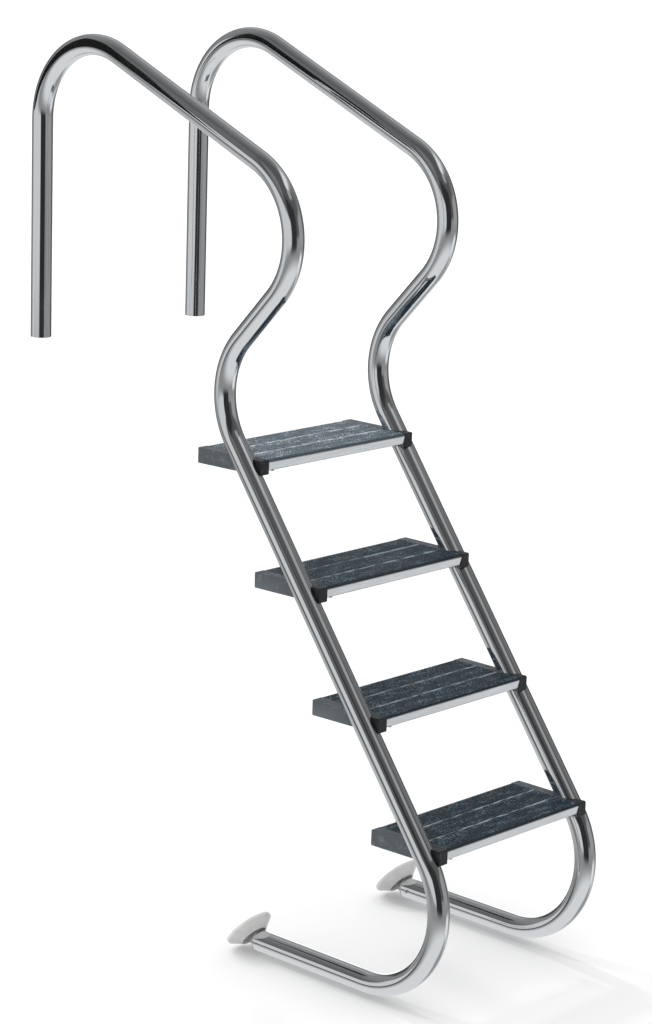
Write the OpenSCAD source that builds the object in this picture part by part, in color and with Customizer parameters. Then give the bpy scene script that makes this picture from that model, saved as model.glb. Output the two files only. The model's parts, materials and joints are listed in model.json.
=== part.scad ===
// Inclined pool ladder: two bent tube rails, four deep treads between them,
// and a tilting pad on each foot tube that bears on the pool wall.
//
// Frame: X runs across the ladder, -Y points to the pool and +Y to the deck,
// Z is up. The origin is midway between the cut ends of the two deck legs.

/* [Rails] */
// Outside diameter of the rail tube
tube_d = 48.3; // [42.4:0.1:50.8]
// Wall thickness of the rail tube
tube_wall = 1.5; // [1.2:0.1:2.6]
// Distance between the two rails, centre to centre
rail_spacing = 500; // [450:10:560]
// Straight part of the deck leg, up from its cut end
leg_len = 505; // [400:5:560]
// Straight part of the sloping handrail
handrail_len = 482; // [420:1:540]
// Straight part between the crest bend and the inner bend
return_len = 143; // [110:1:180]
// Straight part of the stringer that carries the treads
stringer_len = 1008; // [1000:1:1100]
// Straight part of the foot tube that runs back to the wall
foot_len = 324; // [200:1:400]
// Fall of the handrail towards the pool, in degrees from level
handrail_slope = 23.5; // [15:0.5:35]
// Steepness of the return, in degrees from level
return_slope = 47; // [42:0.5:55]
// Steepness of the stringer, in degrees from level
stringer_slope = 53.5; // [52:0.5:60]
// Centreline radius of the top, crest and inner bends
bend_r = 180; // [150:5:200]
// Centreline radius of the foot bend
foot_bend_r = 200; // [180:5:220]

/* [Treads] */
// Height from one tread to the next
tread_pitch = 250; // [230:1:255]
// Drop from the cut ends of the deck legs to the top of the first tread
first_tread_drop = 175; // [170:1:190]
// Depth of a tread on the pool side of the rail's axis
tread_front = 56; // [54:1:64]
// Depth of a tread on the wall side of the rail's axis
tread_back = 140; // [110:5:160]
// Width of an end cap along the tread
cap_w = 25; // [24:1:32]
// Height of an end cap at its front
cap_front_h = 33; // [32:1:38]
// Height of an end cap at its back
cap_back_h = 36; // [32:1:42]
// Height of the steel pan, from under the mat to its lower edge
pan_h = 21; // [20:0.5:24]
// Thickness of the folded sheet of the pan
sheet = 1.5; // [1:0.1:2]
// Thickness of the anti-slip mat, ribs included
mat_h = 4.2; // [3.5:0.1:5]
// Height of the mat's ribs
rib_h = 1.2; // [0.8:0.1:1.6]
// Distance between the mat's ribs
rib_pitch = 6; // [5:0.5:8]

/* [Tread hardware] */
// Nominal diameter of the bolt at each end of a tread
bolt_d = 8; // [6:1:8]
// Length of that bolt under its head
bolt_len = 35; // [32:1:36]
// Nominal diameter of the screws that hold a pan to its end caps
screw_d = 4.2; // [3.5:0.1:4.8]

/* [Wall pads] */
// Radius of the pad's rubber face
pad_r = 56.5; // [48:0.5:60]
// Distance from the hinge pin to the rubber face
pad_reach = 33; // [31:0.5:38]
// Tilt of the pads away from square to the wall, in degrees, top towards the pool
pad_tilt = 40; // [0:1:44]
// Distance from the tube's end to the hinge pin
pivot_reach = 12; // [12:0.5:16]
// Diameter of the hinge pin
pin_d = 8; // [6:0.5:8]

/* [Hidden] */
$fn = 96;
TREADS = [1:4];
SIDES = [-1, 1];
TREAD_PARTS = ["pan", "mat", "left_cap", "right_cap"];

tube_r = tube_d / 2;
bore_r = tube_r - tube_wall;
rail_x = rail_spacing / 2;

// Room left between neighbouring pieces of one assembly
gap = 0.1;
// Room round a screw's or bolt's shank
shank_gap = 0.25;
// How far a cutting tool runs past the face that it cuts
past = 1;
// Bending draws the tube in by this much on its radius
bend_draw = 0.3;
// Each straight length runs on into its neighbouring bends by this much
bend_lap = 2;

// Rail: each step is a straight length, then a turn in degrees, then the turn's radius.
// Headings are in the YZ plane, from +Y towards +Z, and the leg starts straight up.
leg_heading = 90;
STEPS = [
    [leg_len, 180 + handrail_slope - leg_heading, bend_r],
    [handrail_len, 180 - return_slope - handrail_slope, bend_r],
    [return_len, stringer_slope + return_slope - 180, bend_r],
    [stringer_len, 180 - stringer_slope, foot_bend_r],
    [foot_len, 0, foot_bend_r]];
STRINGER = 3;
FOOT = 4;

// A pose on the rail's axis is [y, z, heading].
function along(p, len) = [p.x + len * cos(p.z), p.y + len * sin(p.z), p.z];
function bend_centre(p, turn, r) =
    [p.x - sign(turn) * r * sin(p.z), p.y + sign(turn) * r * cos(p.z)];
function turned(p, turn, r) = let (c = bend_centre(p, turn, r), h = p.z + turn)
    [c.x + sign(turn) * r * sin(h), c.y - sign(turn) * r * cos(h), h];
function pose(i) = i == 0 ? [0, 0, leg_heading]
    : turned(along(pose(i - 1), STEPS[i - 1][0]), STEPS[i - 1][1], STEPS[i - 1][2]);

foot_end = along(pose(FOOT), foot_len);
pivot_y = foot_end.x + pivot_reach;
pivot_z = foot_end.y;

// Treads: heights of their top faces, and where the rail's axis passes a height
function tread_z(k) = -first_tread_drop - (k - 1) * tread_pitch;
function stringer_y(z) = pose(STRINGER).x + (z - pose(STRINGER).y) / tan(stringer_slope);

// The end caps stop short of the rails' mid-planes by this much
cap_set_back = 2;
cap_corner = 3;
cap_outer_x = rail_x - cap_set_back;
cap_inner_x = cap_outer_x - cap_w;
deck_half = cap_inner_x - 2 * gap;
saddle_r = tube_r + 2 * gap;
pan_top = -mat_h;
pan_bottom = pan_top - pan_h;
// Outside radius of the pan's folds
fold_r = 2.5;
// The pan's front flange leans back by this much at its lower edge
flange_lean = 3;
lip_w = 9;
tongue_len = 38;
bolt_r = bolt_d / 2;
// The bolts cross the rails' axes halfway up the pan
bolt_drop = 17;
// Along a bolt, from the rail's axis: where the boss starts, and the washer's seat in the end cap
boss_from = 10;
bolt_seat = 46;
boss_r = 7;
head_r = 7;
head_h = 4.4;
socket_af = 5;
washer_r = 8.5;
washer_h = 1.6;
pocket_r = washer_r + 1;
screw_r = screw_d / 2;
screw_len = 13;
screw_head_r = 4;
screw_head_h = 2.4;
recess_l = 4.8;
recess_w = 1;
recess_h = 1.4;
screw_x = cap_inner_x - tongue_len / 2;

// Wall pads: fork, hub and rubber, measured from the hinge pin
pin_r = pin_d / 2;
pin_half = 16;
// Radial room of the pin in the fork's ears, and in the hub that turns on it
ear_fit = 0.02;
hub_fit = 0.05;
plug_depth = 40;
plug_flange = 3;
ear_in = 7;
ear_out = 13;
ear_r = 9;
lug_half = 6.6;
lug_r = 8.5;
hub_plate_z = 17;
hub_plate_h = 5;
hub_plate_r = 30;
// The rubber bell: its rim, the skirt round the hub's plate, and the rings cut in its face
pad_lip = 6;
skirt_z = 8;
skirt_wall = 3;
groove_w = 2.5;
groove_h = 1.5;
// The clips that keep the hinge pin in its ears, and the pin's grooves for them
clip_h = 1;
clip_rim = 3;
clip_groove = 0.8;
clip_x = ear_out + 2 * gap + clip_h / 2;
clip_mouth = 1.8 * pin_r;

steel = [0.80, 0.81, 0.82];
slate = [0.20, 0.23, 0.26];
black = [0.07, 0.07, 0.08];
grey = [0.58, 0.59, 0.59];
pale = [0.80, 0.80, 0.79];

// Side is -1 on the left and 1 on the right.
module on_side(side) translate([side * rail_x, 0, 0]) mirror([side < 0 ? 1 : 0, 0, 0]) children();

// Stands a shape that is drawn along Z at a pose on the rail's axis, along its heading.
module at_pose(p) translate([0, p.x, p.y]) rotate([p.z - 90, 0, 0]) children();

// Extrudes an outline of [y, z] points along X, centred.
module across(width) rotate([90, 0, 90]) linear_extrude(width, center = true) children();

function flat(p) = [p.x, p.y];
function unit(v) = v / norm(v);
function direction(angle) = [cos(angle), sin(angle)];

// Rounds the corners of an outline: each point is [y, z, corner radius].
function rounded(points, steps = 5) = let (n = len(points)) [
    for (i = [0:n - 1])
        let (p = flat(points[i]), r = points[i].z,
             u = unit(flat(points[(i + n - 1) % n]) - p), v = unit(flat(points[(i + 1) % n]) - p),
             half = acos(u * v) / 2,
             centre = p + unit(u + v) * r / sin(half),
             from = p + u * r / tan(half) - centre, to = p + v * r / tan(half) - centre,
             start = atan2(from.y, from.x), sweep = (atan2(to.y, to.x) - start + 540) % 360 - 180)
        for (j = [0:r > 0 ? steps : 0])
            r > 0 ? centre + r * direction(start + sweep * j / steps) : p];

// --- Rails ---

// The rail's centreline as a solid of radius r, in the YZ plane
module rail_solid(r) {
    for (i = [0:FOOT]) {
        before = i > 0 ? bend_lap : 0;
        after = i < FOOT ? bend_lap : 0;
        at_pose(along(pose(i), -before)) cylinder(r = r, h = STEPS[i][0] + before + after);
    }
    for (i = [0:FOOT - 1])
        rail_bend(along(pose(i), STEPS[i][0]), STEPS[i][1], STEPS[i][2], r - bend_draw);
}

module rail_bend(p, turn, bend, r) {
    c = bend_centre(p, turn, bend);
    from = turn > 0 ? p.z - 90 : p.z + 90 + turn;
    translate([0, c.x, c.y]) rotate([90, 0, 90]) rotate(from)
        rotate_extrude(angle = abs(turn)) translate([bend, 0]) circle(r);
}

// A hole along X through the tube's inner wall at each tread's bolt
module bolt_holes() {
    for (k = TREADS)
        translate([0, bolt_y(k), bolt_z(k)]) rotate([0, -90, 0])
            cylinder(r = bolt_r + shank_gap, h = tube_r + past);
}

module rail(side) color(steel) on_side(side) difference() {
    rail_solid(tube_r);
    rail_solid(bore_r);
    at_pose([0, -past, leg_heading]) cylinder(r = bore_r, h = 2 * past);
    at_pose(along(foot_end, -past)) cylinder(r = bore_r, h = 2 * past);
    bolt_holes();
    translate([0, plug_screw_y, foot_end.y]) rotate([0, -90, 0])
        cylinder(r = screw_r + shank_gap, h = tube_r + past);
}

// --- Treads ---

function bolt_z(k) = tread_z(k) - bolt_drop;
function bolt_y(k) = stringer_y(bolt_z(k));

// The tread's own frame: the rail's axis at the height of the tread's top face
module at_tread(k) translate([0, stringer_y(tread_z(k)), tread_z(k)]) children();

module pan(k) color(steel) at_tread(k) difference() {
    across(2 * deck_half) polygon(rounded([
        [-tread_front, pan_top, fold_r], [tread_back, pan_top, fold_r],
        [tread_back, pan_bottom, fold_r], [flange_lean - tread_front, pan_bottom, fold_r]]));
    across(2 * deck_half + 2 * past) polygon([
        [sheet - tread_front, pan_top - sheet], [tread_back - sheet, pan_top - sheet],
        [tread_back - sheet, pan_bottom + sheet],
        [flange_lean + sheet - tread_front, pan_bottom + sheet]]);
    across(2 * deck_half + 2 * past) polygon([
        [flange_lean + lip_w - tread_front, pan_bottom + sheet + past],
        [tread_back - lip_w, pan_bottom + sheet + past],
        [tread_back - lip_w, pan_bottom - past],
        [flange_lean + lip_w - tread_front, pan_bottom - past]]);
    pan_screw_holes();
}

screw_rows = [flange_lean + lip_w / 2 + sheet / 2 - tread_front, tread_back - lip_w / 2 - sheet / 2];

module at_pan_screws()
    for (side = SIDES, y = screw_rows)
        translate([side * screw_x, y, pan_bottom]) children();

module pan_screw_holes() at_pan_screws()
    translate([0, 0, -past]) cylinder(r = screw_r + gap, h = screw_len + 2 * past);

// The mat is ribbed lengthwise, with two smooth raised bands that part the ribs in three.
band_w = 5;
band_corner = 0.8;
mat_corner = 1.5;
mat_inset = 0.5;
mat_front = mat_inset - tread_front;
mat_back = tread_back - mat_inset;
third = (mat_back - mat_front) / 3;
ribs = floor((third - band_w) / rib_pitch);

module mat(k) color(slate) at_tread(k) {
    across(2 * deck_half) polygon(rounded([
        [mat_front, pan_top, 0], [mat_back, pan_top, 0],
        [mat_back, -rib_h, mat_corner], [mat_front, -rib_h, mat_corner]]));
    for (i = [0:2]) {
        start = mat_front + i * third + (third - ribs * rib_pitch) / 2;
        for (j = [0:ribs - 1])
            translate([0, start + (j + 0.5) * rib_pitch, 0])
                across(2 * deck_half) polygon([
                    [-rib_pitch / 3, -rib_h], [rib_pitch / 3, -rib_h],
                    [rib_pitch / 5, 0], [-rib_pitch / 5, 0]]);
    }
    for (i = [1:2])
        translate([0, mat_front + i * third, -rib_h]) across(2 * deck_half)
            polygon(rounded([[-band_w / 2, 0, 0], [band_w / 2, 0, 0],
                [band_w / 2, rib_h, band_corner], [-band_w / 2, rib_h, band_corner]]));
}

// The end cap hugs the inner half of its rail, and its tongue fills the end of the pan.
module cap(k, side) color(black) on_side(side) at_tread(k) difference() {
    union() {
        translate([cap_outer_x - cap_w / 2 - rail_x, 0, 0]) across(cap_w)
            polygon(rounded([
                [-tread_front, 0, cap_corner], [tread_back, 0, cap_corner],
                [tread_back, -cap_back_h, cap_corner], [-tread_front, -cap_front_h, cap_corner]]));
        translate([cap_inner_x - tongue_len / 2 - rail_x, 0, 0]) across(tongue_len)
            polygon([
                [sheet + gap - tread_front, pan_top - sheet - gap],
                [tread_back - sheet - gap, pan_top - sheet - gap],
                [tread_back - sheet - gap, pan_bottom + sheet + gap],
                [flange_lean + sheet + gap - tread_front, pan_bottom + sheet + gap]]);
    }
    rotate([stringer_slope - 90, 0, 0])
        cylinder(r = saddle_r, h = 4 * tread_back, center = true);
    translate([0, -bolt_drop / tan(stringer_slope), -bolt_drop]) rotate([0, -90, 0]) {
        cylinder(r = bolt_r + shank_gap, h = rail_x);
        translate([0, 0, bolt_seat]) cylinder(r = pocket_r, h = tongue_len);
    }
    translate([-rail_x, 0, 0]) pan_screw_holes();
}

// --- Tread hardware: each node is a group of equal, separate pieces ---

// Puts a piece at every bolt, with +Z pointing from the rail's axis into the ladder.
module at_bolts()
    for (side = SIDES, k = TREADS)
        on_side(side) translate([0, bolt_y(k), bolt_z(k)]) rotate([0, -90, 0]) children();

// A threaded boss that is welded inside the tube, behind the bolt's hole
module tread_bosses() color(steel) at_bolts() difference() {
    intersection() {
        translate([0, 0, boss_from]) cylinder(r = boss_r, h = tube_r);
        rotate([0, 90, 0]) rotate([stringer_slope - 90, 0, 0])
            cylinder(r = bore_r - gap, h = 4 * boss_r, center = true);
    }
    cylinder(r = bolt_r + gap / 2, h = tube_d);
}

module tread_bolts() color(steel) at_bolts() translate([0, 0, bolt_seat + washer_h + gap]) difference() {
    dome_r = (head_r * head_r + head_h * head_h) / (2 * head_h);
    union() {
        translate([0, 0, -bolt_len]) cylinder(r = bolt_r, h = bolt_len + gap);
        intersection() {
            cylinder(r = head_r, h = head_h);
            translate([0, 0, head_h - dome_r]) sphere(dome_r);
        }
    }
    translate([0, 0, head_h / 2]) cylinder(d = socket_af / cos(30), h = head_h, $fn = 6);
}

module tread_washers() color(steel) at_bolts() translate([0, 0, bolt_seat]) difference() {
    cylinder(r = washer_r, h = washer_h);
    translate([0, 0, -past]) cylinder(r = bolt_r + shank_gap, h = washer_h + 2 * past);
}

// A pan-head screw that points up, with its head's seat at z = 0
module pan_head_screw() difference() {
    union() {
        cylinder(r = screw_r, h = screw_len);
        translate([0, 0, -screw_head_h]) cylinder(r = screw_head_r, h = screw_head_h);
    }
    for (a = [0, 90])
        rotate(a) translate([-recess_l / 2, -recess_w / 2, -screw_head_h - past])
            cube([recess_l, recess_w, past + recess_h]);
}

module pan_screws() color(steel)
    for (k = TREADS) at_tread(k) at_pan_screws() pan_head_screw();

// --- Wall pads ---

plug_screw_y = foot_end.x - plug_depth / 2;

// The hinge's frame: the pin lies along X through the origin.
module at_pivot(side) on_side(side) translate([0, pivot_y, pivot_z]) children();

// The pad's frame: +Z is the outward normal of its face.
module at_pad(side) at_pivot(side) rotate([pad_tilt - 90, 0, 0]) children();

module along_x(length, r) rotate([0, 90, 0]) cylinder(r = r, h = length, center = true);

module foot_plug(side) color(grey) at_pivot(side) difference() {
    union() {
        translate([0, -pivot_reach, 0]) rotate([-90, 0, 0]) cylinder(r = tube_r, h = plug_flange);
        translate([0, -pivot_reach - plug_depth, 0]) rotate([-90, 0, 0])
            cylinder(r = bore_r - gap, h = plug_depth);
        for (s = SIDES) translate([s * (ear_in + ear_out) / 2, 0, 0]) {
            along_x(ear_out - ear_in, ear_r);
            translate([(ear_in - ear_out) / 2, plug_flange - pivot_reach, -ear_r])
                cube([ear_out - ear_in, pivot_reach - plug_flange, 2 * ear_r]);
        }
    }
    along_x(tube_d, pin_r + ear_fit);
    translate([-bore_r - past, -pivot_reach - plug_depth / 2, 0]) rotate([0, 90, 0])
        cylinder(r = screw_r + gap, h = screw_len + past);
}

module plug_screws() color(steel)
    for (side = SIDES)
        on_side(side) translate([-tube_r, plug_screw_y, foot_end.y]) rotate([0, 90, 0]) pan_head_screw();

module hinge_pin(side) color(steel) at_pivot(side) difference() {
    along_x(2 * pin_half, pin_r);
    for (s = SIDES) translate([s * clip_x, 0, 0]) difference() {
        along_x(clip_h + 2 * gap, pin_r + past);
        along_x(clip_h + past, pin_r - clip_groove);
    }
}

module pin_clips() color(steel)
    for (side = SIDES, s = SIDES)
        at_pivot(side) translate([s * clip_x, 0, 0]) difference() {
            along_x(clip_h, pin_r + clip_rim);
            along_x(clip_h + past, pin_r - clip_groove + gap);
            translate([-clip_h, -clip_mouth / 2, -2 * pin_r - clip_rim])
                cube([2 * clip_h, clip_mouth, 2 * pin_r]);
        }

module pad_hub(side) color(grey) at_pad(side) difference() {
    union() {
        along_x(2 * lug_half, lug_r);
        translate([-lug_half, -lug_r, 0]) cube([2 * lug_half, 2 * lug_r, hub_plate_z + gap]);
        translate([0, 0, hub_plate_z]) cylinder(r = hub_plate_r, h = hub_plate_h);
    }
    along_x(4 * lug_half, pin_r + hub_fit);
}

module wall_pad(side) color(pale) at_pad(side) difference() {
    rotate_extrude() polygon([
        [0, hub_plate_z + hub_plate_h + gap],
        [hub_plate_r + gap, hub_plate_z + hub_plate_h + gap],
        [hub_plate_r + gap, skirt_z], [hub_plate_r + skirt_wall, skirt_z],
        [pad_r, pad_reach - pad_lip], [pad_r, pad_reach], [0, pad_reach]]);
    for (r = [pad_r / 3, pad_r / 2, pad_r * 2 / 3, pad_r * 5 / 6])
        translate([0, 0, pad_reach - groove_h]) difference() {
            cylinder(r = r + groove_w / 2, h = groove_h + past);
            translate([0, 0, -past]) cylinder(r = r - groove_w / 2, h = groove_h + 3 * past);
        }
}

rail(-1);  // left_rail
rail(1);  // right_rail
for (k = TREADS) {
    pan(k);
    mat(k);
    cap(k, -1);
    cap(k, 1);
}
tread_bosses();
tread_bolts();
tread_washers();
pan_screws();
foot_plug(-1);  // left_foot_plug
foot_plug(1);  // right_foot_plug
plug_screws();
hinge_pin(-1);  // left_hinge_pin
hinge_pin(1);  // right_hinge_pin
pin_clips();
pad_hub(-1);  // left_pad_hub
pad_hub(1);  // right_pad_hub
wall_pad(-1);  // left_wall_pad
wall_pad(1);  // right_wall_pad
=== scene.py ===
"""The looks of the pool ladder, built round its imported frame. Lengths are in metres."""

import json
import math

import bmesh
import bpy
from mathutils import Matrix, Vector

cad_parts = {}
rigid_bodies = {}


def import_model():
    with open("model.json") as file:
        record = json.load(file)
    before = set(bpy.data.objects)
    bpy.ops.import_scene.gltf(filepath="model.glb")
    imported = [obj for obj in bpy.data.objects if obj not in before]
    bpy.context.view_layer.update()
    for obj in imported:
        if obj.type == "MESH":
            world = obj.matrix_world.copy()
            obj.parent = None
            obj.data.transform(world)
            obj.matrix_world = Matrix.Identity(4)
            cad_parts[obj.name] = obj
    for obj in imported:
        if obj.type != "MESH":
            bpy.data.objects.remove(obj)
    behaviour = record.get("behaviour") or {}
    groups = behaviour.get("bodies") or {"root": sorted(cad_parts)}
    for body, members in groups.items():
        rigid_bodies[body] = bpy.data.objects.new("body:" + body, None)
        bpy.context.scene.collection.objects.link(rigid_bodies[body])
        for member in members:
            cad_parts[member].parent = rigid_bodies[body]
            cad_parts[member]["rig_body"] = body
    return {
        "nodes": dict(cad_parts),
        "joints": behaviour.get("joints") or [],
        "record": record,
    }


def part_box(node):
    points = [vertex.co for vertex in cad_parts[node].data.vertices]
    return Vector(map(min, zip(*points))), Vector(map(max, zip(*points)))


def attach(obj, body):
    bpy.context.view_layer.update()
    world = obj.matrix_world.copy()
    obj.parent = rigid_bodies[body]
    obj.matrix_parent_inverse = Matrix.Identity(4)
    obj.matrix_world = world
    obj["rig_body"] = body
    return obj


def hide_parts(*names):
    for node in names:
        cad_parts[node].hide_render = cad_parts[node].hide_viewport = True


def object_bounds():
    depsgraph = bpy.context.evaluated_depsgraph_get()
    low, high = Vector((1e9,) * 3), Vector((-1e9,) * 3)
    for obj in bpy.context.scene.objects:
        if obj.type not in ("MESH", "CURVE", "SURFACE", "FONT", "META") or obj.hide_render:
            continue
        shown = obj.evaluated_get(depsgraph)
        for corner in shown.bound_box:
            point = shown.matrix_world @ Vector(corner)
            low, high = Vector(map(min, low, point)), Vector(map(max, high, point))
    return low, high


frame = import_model()
CAD_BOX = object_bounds()

MM = 0.001
SIDES = {"left": -1, "right": 1}
TREADS = (1, 2, 3, 4)

# The camera: where it stands, and its heading from +Y towards +X, its fall and its roll in degrees
CAMERA_PLACE = (-4.720, -5.058, 1.191)
CAMERA_HEADING = 47.21
CAMERA_FALL = 13.32
CAMERA_ROLL = 1.77
CAMERA_LENS = 102.9
CAMERA_RANGE = 200

# The rail, as the CAD model has it: its tube, how its stretches slope, and where its bends turn
RAIL_X = sum(corner.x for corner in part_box("right_rail")) / 2
TUBE_R = 24.15 * MM
TUBE_WALL = 1.5 * MM
BEND_R = 180 * MM
FOOT_BEND_R = 200 * MM
HANDRAIL_SLOPE = 23.5
RETURN_SLOPE = 47
STRINGER_SLOPE = 53.5
LEG_HEADING = 90
RAIL_STEPS = (  # length, turn after it in degrees, radius of that turn
    (505 * MM, 180 + HANDRAIL_SLOPE - LEG_HEADING, BEND_R),
    (482 * MM, 180 - RETURN_SLOPE - HANDRAIL_SLOPE, BEND_R),
    (143 * MM, STRINGER_SLOPE + RETURN_SLOPE - 180, BEND_R),
    (1008 * MM, 180 - STRINGER_SLOPE, FOOT_BEND_R),
    (324 * MM, 0, FOOT_BEND_R),
)


# --- Shader nodes ---


def add_node(tree, kind, inputs=None, **settings):
    """Adds a node. An input is a value, or the socket that it is linked to."""
    made = tree.nodes.new(kind)
    for name, value in settings.items():
        setattr(made, name, value)
    for name, value in (inputs or {}).items():
        if isinstance(value, bpy.types.NodeSocket):
            tree.links.new(value, made.inputs[name])
        else:
            made.inputs[name].default_value = value
    return made


def maths(tree, operation, *values):
    made = add_node(tree, "ShaderNodeMath", dict(enumerate(values)), operation=operation)
    return made.outputs[0]


def dot(tree, a, b):
    made = add_node(tree, "ShaderNodeVectorMath", {0: a, 1: b}, operation="DOT_PRODUCT")
    return made.outputs["Value"]


def ramp(tree, value, low, high, start=0.0, end=1.0):
    """A smooth step from start to end as value goes from low to high."""
    made = add_node(tree, "ShaderNodeMapRange", {0: value, 1: low, 2: high, 3: start, 4: end},
                    interpolation_type="SMOOTHSTEP")
    return made.outputs[0]


def mix(tree, factor, a, b):
    """A mix of two numbers."""
    made = add_node(tree, "ShaderNodeMix", {0: factor, 2: a, 3: b}, data_type="FLOAT")
    return made.outputs[0]


def mix_colour(tree, factor, a, b):
    made = add_node(tree, "ShaderNodeMix", {0: factor, 6: a, 7: b}, data_type="RGBA")
    return made.outputs[2]


# --- Camera, floor and light ---

# What reflections show: soft-edged cards round the ladder, each laid over those before it. Each has
# a heading from +Y towards +X, an elevation, a half width, a half height and a soft edge, all in
# degrees, and then its light. Left, right and ahead are as the camera sees them.
STUDIO = (
    (53, 0, 51, 20, 6, 0.07),  # dark surround ahead, which darkens the edges of the tubes
    (75, 45, 40, 14, 8, 0.42),  # grey card high ahead, to the right
    (-90, 34, 14, 14, 5, 0.20),  # grey card above the long light
    (140, 6, 22, 14, 5, 0.36),  # grey card to the right of the camera
    (-142, 9, 29, 24, 5, 0.03),  # black cloth behind the camera
    (143, 56, 24, 8, 5, 0.85),  # window high on the right
    (178, 45, 13, 5, 2, 0.38),  # strip light high to the right of the camera
    (120, 30, 16, 8, 5, 0.16),  # dark card under the window
    (-88, 0, 30, 11, 3, 0.70),  # long light on the left
    (-42, 0, 17, 12, 3, 0.70),  # its end, further ahead
    (-47, -16, 12, 3, 2, 0.06),  # dark foot of that light
    (-56, 34, 7, 16, 5, 0.16),  # dark card over it
    (112, -50, 20, 15, 6, 0.34),  # grey patch on the ground to the right
    (130, -24, 15, 8, 4, 0.90),  # white floor to the right of the ladder
    (47, -5, 14, 17, 4, 1.3),  # white backdrop, which the uppermost tread mirrors most
)
STUDIO_TINT = (0.965, 0.985, 1, 1)

# Behind the cards the ground brightens downwards, and the sky along the camera's heading. A span
# is in cosines of the angle from straight down or from that heading, and the light is at its ends.
GROUND_SPAN = (0.30, 0.62)
GROUND_LIGHT = (0.30, 0.80)
SKY_SPAN = (-0.3, 0.5)
SKY_LIGHT = (0.10, 0.26)
HORIZON = 0.05  # half height of the soft edge between ground and sky
CARD_FRONT = 0.001  # least cosine of the angle from a card's middle at which it still shows

# The plain white surround that all but reflections have: what lights surfaces, and the backdrop
FILL_LIGHT = 1.02
BACKDROP_LIGHT = 1.0

SUNS = (  # name, heading, elevation, strength, softness
    ("overhead_light", 0, 88, 0.15, 60),
    ("back_left_light", -18, 44, 0.34, 3),
    ("back_right_light", 14, 52, 0.34, 3),
)

# The floor lies a little under the ladder, so that it catches soft shadows but no hard contact
FLOOR_SIZE = 120
FLOOR_TONE = 0.92
FLOOR_GAP = 8 * MM

# A black flag near the top bends: its middle, the heading that it faces, its width and height
FLAG_PLACE = (-0.84, 0.49, 0.93)
FLAG_FACING = -42
FLAG_SIZE = (0.90, 0.94)
FLAG_TONE = 0.012


def link(obj):
    bpy.context.scene.collection.objects.link(obj)
    return obj


def view_axes():
    """The camera's right, up and forward directions."""
    heading, fall, roll = map(math.radians, (CAMERA_HEADING, CAMERA_FALL, CAMERA_ROLL))
    forward = Vector((math.sin(heading) * math.cos(fall), math.cos(heading) * math.cos(fall),
                      -math.sin(fall)))
    level = Vector((math.cos(heading), -math.sin(heading), 0))
    rise = level.cross(forward)
    right = level * math.cos(roll) + rise * math.sin(roll)
    return right, rise * math.cos(roll) - level * math.sin(roll), forward


def add_camera():
    data = bpy.data.cameras.new("camera")
    data.lens = CAMERA_LENS
    data.clip_end = CAMERA_RANGE
    camera = link(bpy.data.objects.new("camera", data))
    right, up, forward = view_axes()
    turn = Matrix((right, up, -forward)).transposed().to_4x4()
    camera.matrix_world = Matrix.Translation(CAMERA_PLACE) @ turn
    bpy.context.scene.camera = camera


def heading_vector(heading, elevation=0.0):
    h, e = math.radians(heading), math.radians(elevation)
    return Vector((math.sin(h) * math.cos(e), math.cos(h) * math.cos(e), math.sin(e)))


def card(tree, direction, heading, elevation, half_width, half_height, edge):
    """1 where a direction meets a card that faces the ladder, and 0 elsewhere, with a soft edge."""
    axis = heading_vector(heading, elevation)
    right = heading_vector(heading + 90)
    front = dot(tree, direction, axis)
    depth = maths(tree, "MAXIMUM", front, CARD_FRONT)
    share = maths(tree, "GREATER_THAN", front, CARD_FRONT)
    for across, half in ((right, half_width), (right.cross(axis), half_height)):
        offset = maths(tree, "DIVIDE", maths(tree, "ABSOLUTE", dot(tree, direction, across)), depth)
        low, high = (math.tan(math.radians(max(half + way * edge, 0))) for way in (-1, 1))
        share = maths(tree, "MULTIPLY", share, ramp(tree, offset, low, high, 1.0, 0.0))
    return share


def add_world():
    """A studio for reflections, and a plain white surround for all other rays."""
    world = bpy.data.worlds.new("studio")
    bpy.context.scene.world = world
    world.use_nodes = True
    tree = world.node_tree
    tree.nodes.clear()
    direction = add_node(tree, "ShaderNodeTexCoord").outputs["Generated"]
    height = add_node(tree, "ShaderNodeSeparateXYZ", {0: direction}).outputs["Z"]
    ground = ramp(tree, maths(tree, "MULTIPLY", height, -1.0), *GROUND_SPAN, *GROUND_LIGHT)
    sky = ramp(tree, dot(tree, direction, heading_vector(CAMERA_HEADING)), *SKY_SPAN, *SKY_LIGHT)
    light = mix(tree, ramp(tree, height, -HORIZON, HORIZON), ground, sky)
    for *shape, strength in STUDIO:
        light = mix(tree, card(tree, direction, *shape), light, strength)
    studio = add_node(tree, "ShaderNodeBackground", {"Color": STUDIO_TINT, "Strength": light})
    path = add_node(tree, "ShaderNodeLightPath").outputs
    fill = mix(tree, path["Is Camera Ray"], FILL_LIGHT, BACKDROP_LIGHT)
    plain = add_node(tree, "ShaderNodeBackground", {"Color": (1, 1, 1, 1), "Strength": fill})
    both = add_node(tree, "ShaderNodeMixShader",
                    {0: path["Is Glossy Ray"], 1: plain.outputs[0], 2: studio.outputs[0]})
    add_node(tree, "ShaderNodeOutputWorld", {"Surface": both.outputs[0]})


def add_sun(name, heading, elevation, strength, softness):
    """A sun that shines from a heading and an elevation, in degrees. No reflection shows it."""
    data = bpy.data.lights.new(name, "SUN")
    data.energy = strength
    data.angle = math.radians(softness)
    sun = link(bpy.data.objects.new(name, data))
    sun.rotation_mode = "QUATERNION"
    sun.rotation_quaternion = heading_vector(heading, elevation).to_track_quat("Z", "Y")
    sun.visible_glossy = False


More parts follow.
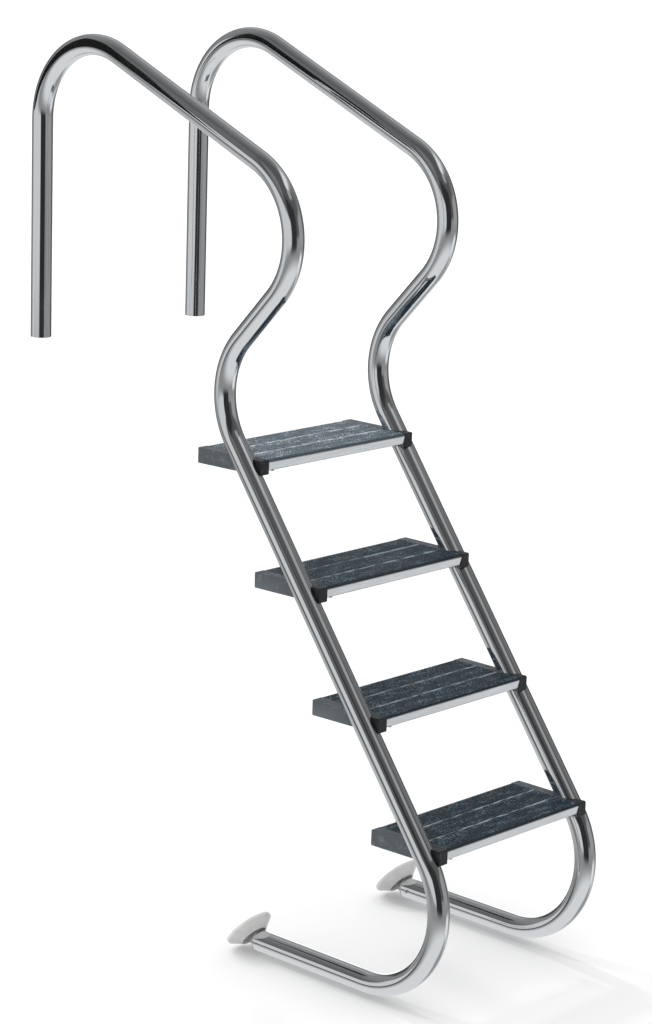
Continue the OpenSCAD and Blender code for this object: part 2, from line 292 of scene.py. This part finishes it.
def add_sheet(name, width, depth, material):
    """A flat piece of the stage round the origin, which isn't part of the ladder."""
    mesh = bpy.data.meshes.new(name)
    corners = [(-0.5, -0.5), (0.5, -0.5), (0.5, 0.5), (-0.5, 0.5)]
    mesh.from_pydata([(x * width, y * depth, 0) for x, y in corners], [], [(0, 1, 2, 3)])
    mesh.materials.append(material)
    sheet = link(bpy.data.objects.new(name, mesh))
    return sheet


def add_floor():
    floor = add_sheet("floor", FLOOR_SIZE, FLOOR_SIZE, plain_material("floor", FLOOR_TONE))
    floor.location = (0, 0, CAD_BOX[0].z - FLOOR_GAP)
    floor.visible_glossy = False


def add_flag():
    """A black flag near the top bends, which only reflections show."""
    flag = add_sheet("flag", *FLAG_SIZE, plain_material("flag", FLAG_TONE))
    flag.location = FLAG_PLACE
    flag.rotation_mode = "QUATERNION"
    flag.rotation_quaternion = heading_vector(FLAG_FACING).to_track_quat("Z", "Y")
    flag.visible_camera = flag.visible_diffuse = flag.visible_shadow = False
    flag.visible_transmission = False


# --- Materials ---

# Tones of metals, and for the others the tone of the body and that of its scuffed or lighter places
TUBE_TONE = (0.80, 0.81, 0.82, 1)
SHEET_TONE = (0.76, 0.77, 0.78, 1)
FASTENER_TONE = (0.62, 0.63, 0.64, 1)
# Painted light and shade: the uppermost tread's mat and bands get lit, paler copies of these tones.
# The lower treads get shaded copies, since each lies in the shade of the tread above
LIT_TOP_SLATE = (0.110, 0.160, 0.195, 1), (0.55, 0.62, 0.66, 1)
SHADED_LOW_SLATE = (0.016, 0.034, 0.050, 1), (0.18, 0.26, 0.32, 1)
LIT_TOP_BAND = (0.16, 0.20, 0.22, 1), (0.72, 0.76, 0.78, 1)
SHADED_LOW_BAND = (0.05, 0.07, 0.09, 1), (0.36, 0.40, 0.43, 1)
BLACK_PLASTIC = (0.006, 0.008, 0.0085, 1), (0.03, 0.034, 0.036, 1)
SLATE_PLASTIC = (0.074, 0.086, 0.098, 1), (0.15, 0.17, 0.19, 1)
GREY_PLASTIC = (0.36, 0.37, 0.37, 1), (0.44, 0.45, 0.45, 1)
MILKY_RUBBER = (0.56, 0.56, 0.555, 1), (0.66, 0.66, 0.65, 1)

# Roughness, from the smoothest places to the dullest
TUBE_SHINE = (0.055, 0.13)
SHEET_SHINE = (0.22, 0.36)
FASTENER_SHINE = (0.24, 0.42)
SLATE_SHINE = (0.24, 0.42)
BAND_SHINE = (0.3, 0.42)
CAP_SHINE = (0.38, 0.52)
PLUG_SHINE = (0.30, 0.42)
RUBBER_SHINE = (0.42, 0.58)

# Spans of a texture's values, from where a mark starts to where it is whole
NOISE_SPAN = (0.3, 0.7)  # the values that noise mostly takes
SMUDGE_SPAN = (0.45, 0.75)
FLECK_SPAN = (0.46, 0.62)
SCUFF_SPAN = (0.42, 0.62)
BAND_SPAN = (0.40, 0.60)
EDGE_SPAN = (0.52, 0.60)  # of pointiness, which is over 0.5 where a surface is convex
CAP_SCUFF_SPAN = (0.50, 0.72)
LEAST_SCUFF = 0.15  # share of the flecks that shows where a mat is least scuffed
MOST_EDGE_WEAR = 0.7  # most that a cap's tone turns to its scuffed one, at edges and elsewhere
MOST_CAP_SCUFF = 0.6
VALLEY_PAINTED_SHADE = 0.4  # painted shade: a mat's valleys are darkened to this share of its body's tone


def new_material(name, **settings):
    """A Principled material, its tree and its shader, with constants on the shader's sockets."""
    material = bpy.data.materials.new(name)
    material.use_nodes = True
    tree = material.node_tree
    shader = tree.nodes["Principled BSDF"]
    for socket, value in settings.items():
        shader.inputs[socket.replace("_", " ")].default_value = value
    return material, tree, shader


def noise(tree, scale, detail=2.0, stretch=(1, 1, 1), coordinate="Object"):
    """Noise in waves per metre, drawn out along the axes where stretch is small."""
    place = add_node(tree, "ShaderNodeTexCoord").outputs[coordinate]
    scaled = add_node(tree, "ShaderNodeVectorMath", {0: place, 1: stretch}, operation="MULTIPLY")
    made = add_node(tree, "ShaderNodeTexNoise",
                    {"Vector": scaled.outputs[0], "Scale": scale, "Detail": detail})
    return made.outputs[0]


def feed(tree, shader, socket, value):
    tree.links.new(value, shader.inputs[socket])


def roughen(tree, shader, texture, shine):
    feed(tree, shader, "Roughness", ramp(tree, texture, *NOISE_SPAN, *shine))


def bump(tree, shader, height, depth, strength=0.5):
    made = add_node(tree, "ShaderNodeBump",
                    {"Height": height, "Distance": depth, "Strength": strength})
    feed(tree, shader, "Normal", made.outputs[0])


def plain_material(name, tone):
    return new_material(name, Base_Color=(tone, tone, tone, 1), Roughness=0.9,
                        Specular_IOR_Level=0.0)[0]


def polished_steel():
    """Mirror-polished tube: fine lengthwise polishing lines, and faint smudges of handling."""
    material, tree, shader = new_material("polished_steel", Base_Color=TUBE_TONE, Metallic=1.0)
    smudges = noise(tree, scale=9, detail=4)
    lines = noise(tree, scale=1, stretch=(90, 2.5, 1), coordinate="UV")
    feed(tree, shader, "Roughness", mix(tree, ramp(tree, smudges, *SMUDGE_SPAN), *TUBE_SHINE))
    bump(tree, shader, lines, depth=0.02 * MM)
    return material


def sheet_steel():
    """Bright folded sheet with a grain along the tread."""
    material, tree, shader = new_material("sheet_steel", Base_Color=SHEET_TONE, Metallic=1.0)
    grain = noise(tree, scale=900, stretch=(0.02, 1, 1))
    roughen(tree, shader, grain, SHEET_SHINE)
    bump(tree, shader, grain, depth=0.04 * MM, strength=0.6)
    return material


def fastener_steel():
    material, tree, shader = new_material("fastener_steel", Base_Color=FASTENER_TONE, Metallic=1.0)
    roughen(tree, shader, noise(tree, scale=400, detail=3), FASTENER_SHINE)
    return material


def slate_mat(name, body, pale_tone):
    """Grained slate-grey mat: its valleys are darkened as painted shade, and the ribs' tops turn
    pale, partly as scuffs and partly as painted highlight.
    """
    material, tree, shader = new_material(name, Specular_IOR_Level=0.35)
    height = add_node(tree, "ShaderNodeAttribute", attribute_name="rib").outputs["Fac"]
    flecks = noise(tree, scale=260, detail=4)
    scuffs = noise(tree, scale=55, detail=3, stretch=(0.35, 1, 1))
    # Partly painted highlight: the ribs' tops turn pale in flecks, partly as scuffs and partly as
    # the highlight that raised ribs catch
    pale_share = maths(tree, "MULTIPLY", ramp(tree, flecks, *FLECK_SPAN), height)
    pale_share = maths(tree, "MULTIPLY", pale_share, ramp(tree, scuffs, *SCUFF_SPAN, LEAST_SCUFF, 1.0))
    # Painted shade: the valleys between the ribs are darkened
    valley_painted_shade = tuple(VALLEY_PAINTED_SHADE * tone for tone in body[:3]) + (1,)
    body_with_painted_shade = mix_colour(tree, height, valley_painted_shade, body)
    feed(tree, shader, "Base Color", mix_colour(tree, pale_share, body_with_painted_shade, pale_tone))
    roughen(tree, shader, flecks, SLATE_SHINE)
    bump(tree, shader, noise(tree, scale=1400), depth=0.1 * MM)
    return material


def mat_band(name, body, pale_tone):
    """The smooth bands between the ribbed panels, paler than they are."""
    material, tree, shader = new_material(name, Specular_IOR_Level=0.5)
    tone = ramp(tree, noise(tree, scale=120, detail=3, stretch=(0.25, 1, 1)), *BAND_SPAN)
    feed(tree, shader, "Base Color", mix_colour(tree, tone, body, pale_tone))
    roughen(tree, shader, noise(tree, scale=300), BAND_SHINE)
    return material


def cap_plastic(name, body, pale_tone):
    """Moulded end caps: fine grain, with paler worn edges and faint scuffs."""
    material, tree, shader = new_material(name, Specular_IOR_Level=0.45)
    edges = add_node(tree, "ShaderNodeNewGeometry").outputs["Pointiness"]
    scuffs = noise(tree, scale=60, detail=4)
    pale_share = maths(tree, "MAXIMUM", ramp(tree, edges, *EDGE_SPAN, end=MOST_EDGE_WEAR),
                 ramp(tree, scuffs, *CAP_SCUFF_SPAN, end=MOST_CAP_SCUFF))
    feed(tree, shader, "Base Color", mix_colour(tree, pale_share, body, pale_tone))
    roughen(tree, shader, noise(tree, scale=90, detail=3), CAP_SHINE)
    bump(tree, shader, noise(tree, scale=1800), depth=0.08 * MM)
    return material


def grey_plastic():
    """Plugs and hubs, with slow drifts of tone as moulded plastic has."""
    material, tree, shader = new_material("grey_plastic", Specular_IOR_Level=0.5)
    tone = ramp(tree, noise(tree, scale=30, detail=3), *NOISE_SPAN)
    feed(tree, shader, "Base Color", mix_colour(tree, tone, *GREY_PLASTIC))
    roughen(tree, shader, noise(tree, scale=200), PLUG_SHINE)
    return material


def milky_rubber():
    """Soft milky rubber that lets some light through at its thin edges."""
    material, tree, shader = new_material(
        "milky_rubber", Subsurface_Weight=0.4, Subsurface_Scale=8 * MM,
        Subsurface_Radius=(1.0, 0.95, 0.85), Specular_IOR_Level=0.4)
    tone = ramp(tree, noise(tree, scale=25, detail=4), *NOISE_SPAN)
    feed(tree, shader, "Base Color", mix_colour(tree, tone, *MILKY_RUBBER))
    roughen(tree, shader, noise(tree, scale=150), RUBBER_SHINE)
    bump(tree, shader, noise(tree, scale=900), depth=0.1 * MM, strength=0.4)
    return material


# --- Mesh helpers ---


def new_piece(name, points, faces, body, slot, *materials, smooth=True):
    """A mesh object that rides on a CAD body and takes the given materials; its slot argument is
    not used.
    """
    mesh = bpy.data.meshes.new(name)
    mesh.from_pydata(points, [], faces)
    mesh.update()
    mesh.shade_smooth() if smooth else mesh.shade_flat()
    for material in materials:
        mesh.materials.append(material)
    piece = link(bpy.data.objects.new(name, mesh))
    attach(piece, body)
    return piece


def ring_faces(rings, count, closed=False):
    """Quads between rings of count points each, and from the last ring to the first if closed."""
    faces = []
    for i in range(rings if closed else rings - 1):
        a, b = i * count, (i + 1) % rings * count
        faces += [(a + j, a + (j + 1) % count, b + (j + 1) % count, b + j) for j in range(count)]
    return faces


def circle(count, across, up):
    """Directions all round, from across towards up."""
    turns = [2 * math.pi * i / count for i in range(count)]
    return [math.cos(a) * across + math.sin(a) * up for a in turns]


# --- Rails ---

RING = 64  # points round the tube
BEND_STEP = 2.5  # most degrees from ring to ring in a bend
TUBE_EDGE = 0.35 * MM  # softening of the edges of its cut ends


def rail_axis():
    """Poses along a rail's axis: y, z, heading in degrees and distance from the leg's end."""
    y, z, heading, run = 0.0, 0.0, float(LEG_HEADING), 0.0
    poses = [(y, z, heading, run)]
    for length, turn, radius in RAIL_STEPS:
        h = math.radians(heading)
        y, z, run = y + length * math.cos(h), z + length * math.sin(h), run + length
        poses.append((y, z, heading, run))
        way = 1 if turn > 0 else -1
        centre = y - way * radius * math.sin(h), z + way * radius * math.cos(h)
        count = math.ceil(abs(turn) / BEND_STEP)
        for i in range(1, count + 1):
            now = math.radians(heading + turn * i / count)
            poses.append((centre[0] + way * radius * math.sin(now),
                          centre[1] - way * radius * math.cos(now),
                          math.degrees(now), run + radius * math.radians(abs(turn)) * i / count))
        if count:
            y, z, heading, run = poses[-1]
    return poses


def rail_rings():
    """Rings of the tube's surface, out along it and back along its bore.

    Each is a pose on the axis, a radius, a shift along the axis, and how far the surface faces
    outward and along there.
    """
    poses = rail_axis()
    first, last = poses[0], poses[-1]
    bore = TUBE_R - TUBE_WALL
    rings = [(first, TUBE_R - TUBE_EDGE, 0, (0, -1)), (first, TUBE_R, TUBE_EDGE, (1, 0))]
    rings += [(pose, TUBE_R, 0, (1, 0)) for pose in poses[1:-1]]
    rings += [(last, TUBE_R, -TUBE_EDGE, (1, 0)), (last, TUBE_R - TUBE_EDGE, 0, (0, 1)),
              (last, bore + TUBE_EDGE, 0, (0, 1)), (last, bore, -TUBE_EDGE, (-1, 0))]
    rings += [(pose, bore, 0, (-1, 0)) for pose in poses[-2:0:-1]]
    rings += [(first, bore, TUBE_EDGE, (-1, 0)), (first, bore + TUBE_EDGE, 0, (0, -1))]
    return rings


def add_rail(side, steel):
    """A bent tube with a bore and softened ends, as one closed surface with exact normals."""
    rings = rail_rings()
    points, normals = [], []
    for (y, z, heading, _), radius, shift, (outward, forward) in rings:
        h = math.radians(heading)
        along = Vector((0, math.cos(h), math.sin(h)))
        centre = Vector((SIDES[side] * RAIL_X, y, z)) + along * shift
        for radial in circle(RING, Vector((0, -math.sin(h), math.cos(h))), Vector((1, 0, 0))):
            points.append(centre + radius * radial)
            normals.append(outward * radial + forward * along)
    piece = new_piece(f"{side}_rail_tube", points, ring_faces(len(rings), RING, closed=True),
                      "frame", "polished_steel", steel)
    piece.data.normals_split_custom_set_from_vertices(normals)
    layer = piece.data.uv_layers.new(name="UVMap")
    for polygon in piece.data.polygons:
        closes_ring = polygon.index % RING == RING - 1
        for loop in polygon.loop_indices:
            ring, step = divmod(piece.data.loops[loop].vertex_index, RING)
            if step == 0 and closes_ring:
                step = RING
            layer.data[loop].uv = (step / RING, rings[ring][0][3])
    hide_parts(f"{side}_rail")


# --- Treads ---

RIB_H = 1.2 * MM
RIB_PITCH = 6 * MM
BAND_W = 5 * MM
STUD_PERIOD = 12 * MM  # from one notch across the ribs to the next
NOTCH = 2.0 * MM
NOTCH_DEPTH = 0.8 * MM
MAT_CORNER = 1.5 * MM
PANELS = 3

# Sections of a rib, a band and a notch: a share of the pitch or width, and a share of the height
RIB_SECTION = ((-1 / 3, 0), (-1 / 5, 1), (1 / 5, 1), (1 / 3, 0))
BAND_SECTION = ((-0.5, 0), (-0.4, 1), (0.4, 1), (0.5, 0))
NOTCH_LEFT = 1 - NOTCH_DEPTH / RIB_H
NOTCH_SECTION = ((-0.5, 1.0), (-0.2, NOTCH_LEFT), (0.2, NOTCH_LEFT), (0.5, 1.0))

# An end cap's front corner is black, and the rest of its depth is slate grey
CORNER_SHARE = 0.2

# Widths of the rounded edges of the moulded parts
CAP_EDGE = 1.2 * MM
HUB_EDGE = 0.8 * MM
PLUG_EDGE = 0.6 * MM
EDGE_SEGMENTS = 3
WELD = 0.002 * MM  # points of a CAD mesh that are nearer than this are one
FLAT_ANGLE = 1  # faces of a CAD mesh that meet at less than this are one
SOFTENED_ANGLE = 40  # edges that turn by more than this are rounded
SMOOTHED_ANGLE = 35  # edges that turn by less than this are shaded smooth


def mat_outline(low, high):
    """The mat's top from front to back: y, height over the ribs' foot, and "rib" or "band"."""
    panel_w = (high - low) / PANELS
    ribs = math.floor((panel_w - BAND_W) / RIB_PITCH)
    points = []
    for panel in range(PANELS):
        start = low + panel * panel_w + (panel_w - ribs * RIB_PITCH) / 2
        for rib in range(ribs):
            middle = start + (rib + 0.5) * RIB_PITCH
            points += [(middle + offset * RIB_PITCH, height * RIB_H, "rib")
                       for offset, height in RIB_SECTION]
        if panel < PANELS - 1:
            middle = low + (panel + 1) * panel_w
            points += [(middle + offset * BAND_W, height * RIB_H, "band")
                       for offset, height in BAND_SECTION]
    return points


def mat_stations(low, high):
    """Places across the ladder, and how much of a rib stands at each."""
    count = math.floor((high - low) / STUD_PERIOD)
    start = (low + high - count * STUD_PERIOD) / 2
    stations = [(low, 1.0)]
    for i in range(1, count):
        x = start + i * STUD_PERIOD
        stations += [(x + offset * NOTCH, share) for offset, share in NOTCH_SECTION]
    return stations + [(high, 1.0)]


def add_mat(k, slate, band):
    """The mat as one closed surface: a slab whose top carries notched ribs and smooth bands."""
    low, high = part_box(f"tread_{k}_mat")
    foot = high.z - RIB_H
    section = [(low.y, low.z, 0, None), (low.y, foot - MAT_CORNER, 0, None),
               (low.y + MAT_CORNER, foot, 0, None)]
    section += [(y, foot, height, kind) for y, height, kind in mat_outline(low.y, high.y)]
    section += [(high.y - MAT_CORNER, foot, 0, None), (high.y, foot - MAT_CORNER, 0, None),
                (high.y, low.z, 0, None)]
    stations = mat_stations(low.x, high.x)
    points, ribs = [], []
    for x, notched in stations:
        for y, z, height, kind in section:
            share = notched if kind == "rib" else 1
            points.append((x, y, z + height * share))
            ribs.append(height / RIB_H * share)
    count = len(section)
    faces = [tuple(reversed(face)) for face in ring_faces(len(stations), count)]
    faces += [tuple(range(count)), tuple(reversed(range(len(points) - count, len(points))))]
    piece = new_piece(f"tread_{k}_ribbed_mat", points, faces, "frame", "tread_mat", slate, band,
                      smooth=False)
    piece.data.attributes.new("rib", "FLOAT", "POINT").data.foreach_set("value", ribs)
    kinds = [kind for _, _, _, kind in section]
    for polygon in list(piece.data.polygons)[:-2]:
        step = polygon.index % count
        if kinds[step] == "band" and kinds[(step + 1) % count] == "band":
            polygon.material_index = 1
    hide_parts(f"tread_{k}_mat")


def add_softened(node, name, material, width):
    """A CAD part again with its sharp edges rounded, as a moulded or deburred part has them."""
    mesh = frame["nodes"][node].data.copy()
    work = bmesh.new()
    work.from_mesh(mesh)
    bmesh.ops.remove_doubles(work, verts=work.verts, dist=WELD)
    bmesh.ops.dissolve_limit(work, angle_limit=math.radians(FLAT_ANGLE), verts=work.verts,
                             edges=work.edges)
    turned = math.radians(SOFTENED_ANGLE)
    sharp = [e for e in work.edges if e.is_manifold and e.calc_face_angle() > turned]
    bmesh.ops.bevel(work, geom=sharp, offset=width, segments=EDGE_SEGMENTS, profile=0.5,
                    affect="EDGES", clamp_overlap=True)
    bmesh.ops.triangulate(work, faces=[f for f in work.faces if len(f.verts) > 4])
    work.to_mesh(mesh)
    work.free()
    mesh.materials.clear()
    mesh.materials.append(material)
    mesh.shade_smooth()
    mesh.set_sharp_from_angle(angle=math.radians(SMOOTHED_ANGLE))
    piece = link(bpy.data.objects.new(name, mesh))
    piece.modifiers.new("weighted", "WEIGHTED_NORMAL").keep_sharp = True
    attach(piece, frame["nodes"][node]["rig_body"])
    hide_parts(node)
    return piece


def tint_rear(cap, material):
    """Gives the part of an end cap that is behind its front corner a second tone."""
    cap.data.materials.append(material)
    low, high = (f(v.co.y for v in cap.data.vertices) for f in (min, max))
    split = low + CORNER_SHARE * (high - low)
    for polygon in cap.data.polygons:
        polygon.material_index = 1 if polygon.center.y > split else 0


# --- Wall pads ---

PAD_TILT = 40
PAD_SHARP_ANGLE = 38  # edges of a pad that turn by more than this stay sharp
LATHE = 96  # points round the pad

# The pad's section: distance from the hinge pin along the pad's axis, and radius, in millimetres.
# It runs from the pocket for the hub's plate over the skirt round it, out along the bell's flare,
# round the rim, and in over the face with its four grooves.
PAD_SECTION = (
    (22.1, 30.1), (8.6, 30.1), (8.0, 30.6), (8.0, 32.2), (8.6, 33.1),
    (12.4, 37.2), (16.8, 42.6), (21.0, 48.0), (24.4, 52.6), (26.4, 55.2),
    (27.6, 56.3), (28.8, 56.5), (32.2, 56.5), (32.8, 56.2), (33.0, 55.6),
    (33.0, 48.7), (32.6, 48.2), (31.6, 47.9), (31.6, 46.3), (32.6, 46.0), (33.0, 45.5),
    (33.0, 39.3), (32.6, 38.8), (31.6, 38.5), (31.6, 36.8), (32.6, 36.5), (33.0, 36.0),
    (33.0, 29.9), (32.6, 29.4), (31.6, 29.1), (31.6, 27.4), (32.6, 27.1), (33.0, 26.6),
    (33.0, 20.5), (32.6, 20.0), (31.6, 19.7), (31.6, 18.0), (32.6, 17.7), (33.0, 17.2),
)


def hinge_place(side):
    """The pad's hinge: its place from the frame's joint, and the way that the pad faces at rest."""
    joint = next(j for j in frame["joints"] if j["name"] == f"{side}_pad_tilt")
    tilt = math.radians(PAD_TILT)
    return Vector(joint["pos_m"]), Vector((0, math.cos(tilt), math.sin(tilt)))


def add_pad(side, rubber):
    """A soft bell-shaped disc with rings cut in its face, turned round the pad's axis."""
    pivot, facing = hinge_place(side)
    across = Vector((1, 0, 0))
    directions = circle(LATHE, across, facing.cross(across))
    points = [pivot + facing * reach * MM + around * radius * MM
              for reach, radius in PAD_SECTION for around in directions]
    faces = ring_faces(len(PAD_SECTION), LATHE)
    for ring in (0, len(PAD_SECTION) - 1):
        points.append(pivot + facing * PAD_SECTION[ring][0] * MM)
        middle, base = len(points) - 1, ring * LATHE
        fan = [(base + i, middle, base + (i + 1) % LATHE) for i in range(LATHE)]
        faces += fan if ring else [tuple(reversed(f)) for f in fan]
    piece = new_piece(f"{side}_rubber_pad", points, faces, f"{side}_pad", "pad_rubber", rubber)
    work = bmesh.new()
    work.from_mesh(piece.data)
    bmesh.ops.recalc_face_normals(work, faces=work.faces)
    work.to_mesh(piece.data)
    work.free()
    piece.data.set_sharp_from_angle(angle=math.radians(PAD_SHARP_ANGLE))
    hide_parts(f"{side}_wall_pad")


# --- Everything, in order ---

bpy.context.scene.view_settings.view_transform = "Standard"

add_camera()
add_world()
for sun in SUNS:
    add_sun(*sun)
add_floor()
add_flag()

steel, sheet, fasteners = polished_steel(), sheet_steel(), fastener_steel()
lit_top_slate, shaded_low_slate = slate_mat("lit_top_slate", *LIT_TOP_SLATE), slate_mat("shaded_low_slate", *SHADED_LOW_SLATE)
lit_top_band, shaded_low_band = mat_band("lit_top_band", *LIT_TOP_BAND), mat_band("shaded_low_band", *SHADED_LOW_BAND)
black = cap_plastic("black_plastic", *BLACK_PLASTIC)
slate_end = cap_plastic("slate_plastic", *SLATE_PLASTIC)
grey, rubber = grey_plastic(), milky_rubber()

for side in SIDES:
    add_rail(side, steel)
    add_pad(side, rubber)
    add_softened(f"{side}_pad_hub", f"{side}_moulded_hub", grey, HUB_EDGE)
    add_softened(f"{side}_foot_plug", f"{side}_moulded_plug", grey, PLUG_EDGE)

for k in TREADS:
    # Painted light: the uppermost mat and its bands take the lit, paler copies. The three below
    # take the shaded copies, as painted shade from the tread above
    add_mat(k, *((shaded_low_slate, shaded_low_band) if k > 1 else (lit_top_slate, lit_top_band)))
    for side in SIDES:
        cap = add_softened(f"tread_{k}_{side}_cap", f"tread_{k}_{side}_moulded_cap",
                           black, CAP_EDGE)
        tint_rear(cap, slate_end)

# CAD nodes that keep their shape take the material of their slot
CARRIED = {"polished_steel": steel, "pan_steel": sheet, "hardware_steel": fasteners}
for part in frame["record"]["subparts"]:
    node, material = frame["nodes"][part["node"]], CARRIED.get(part["material_slot"])
    if material and not node.hide_render:
        node.data.materials.clear()
        node.data.materials.append(material)
